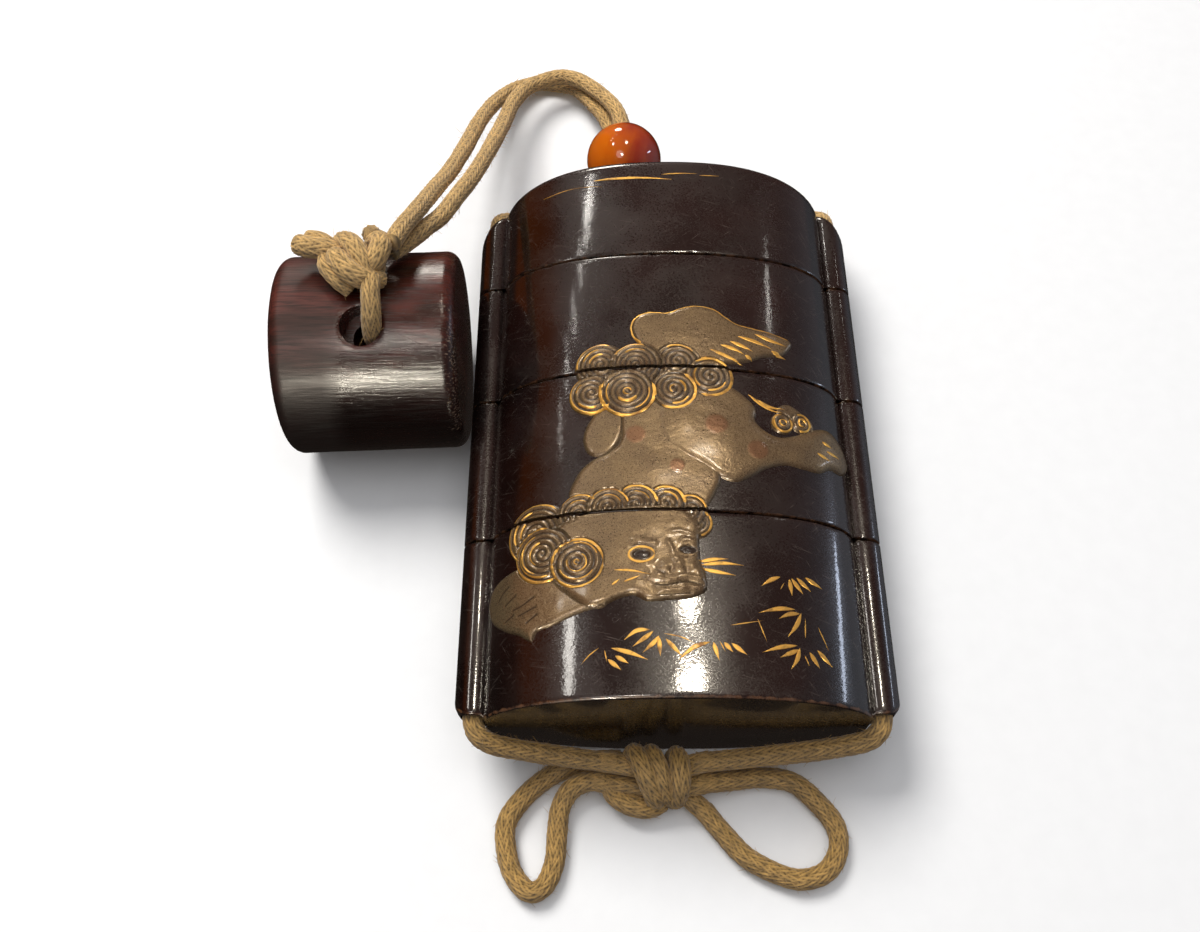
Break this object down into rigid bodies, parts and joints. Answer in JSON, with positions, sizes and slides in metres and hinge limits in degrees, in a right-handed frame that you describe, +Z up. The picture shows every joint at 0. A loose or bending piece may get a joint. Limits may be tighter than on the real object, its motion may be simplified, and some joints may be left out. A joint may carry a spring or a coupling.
{
  "type": "inro case",
  "caption": "Small stacked lacquer case with lid, strung on a braided cord with a bead and a wooden netsuke toggle, lying on its back.",
  "frame": {"origin": "centre of the small flat on the back of the case, halfway along its length, where it rests", "axes": "+Y along the case from foot to lid, +X across its width, +Z up out of the painted front"},
  "size_m": [0.083, 0.1419, 0.033],
  "materials": {
    "lacquer": "polished lacquer over wood, with a raised and gilded picture",
    "netsuke_wood": "hand-polished dark wood",
    "agate": "polished",
    "silk_cord": "braided silk"
  },
  "bodies": {
    "root": {"lid": "lacquer", "upper_case": "lacquer", "middle_case": "lacquer", "lower_case": "lacquer", "netsuke": "netsuke_wood", "bead": "agate", "cord_left": "silk_cord", "cord_right": "silk_cord", "cord_netsuke": "silk_cord", "bow_loop_left": "silk_cord", "bow_loop_right": "silk_cord", "knot_netsuke": "silk_cord", "knot_bow": "silk_cord"}
  },
  "joints": []
}
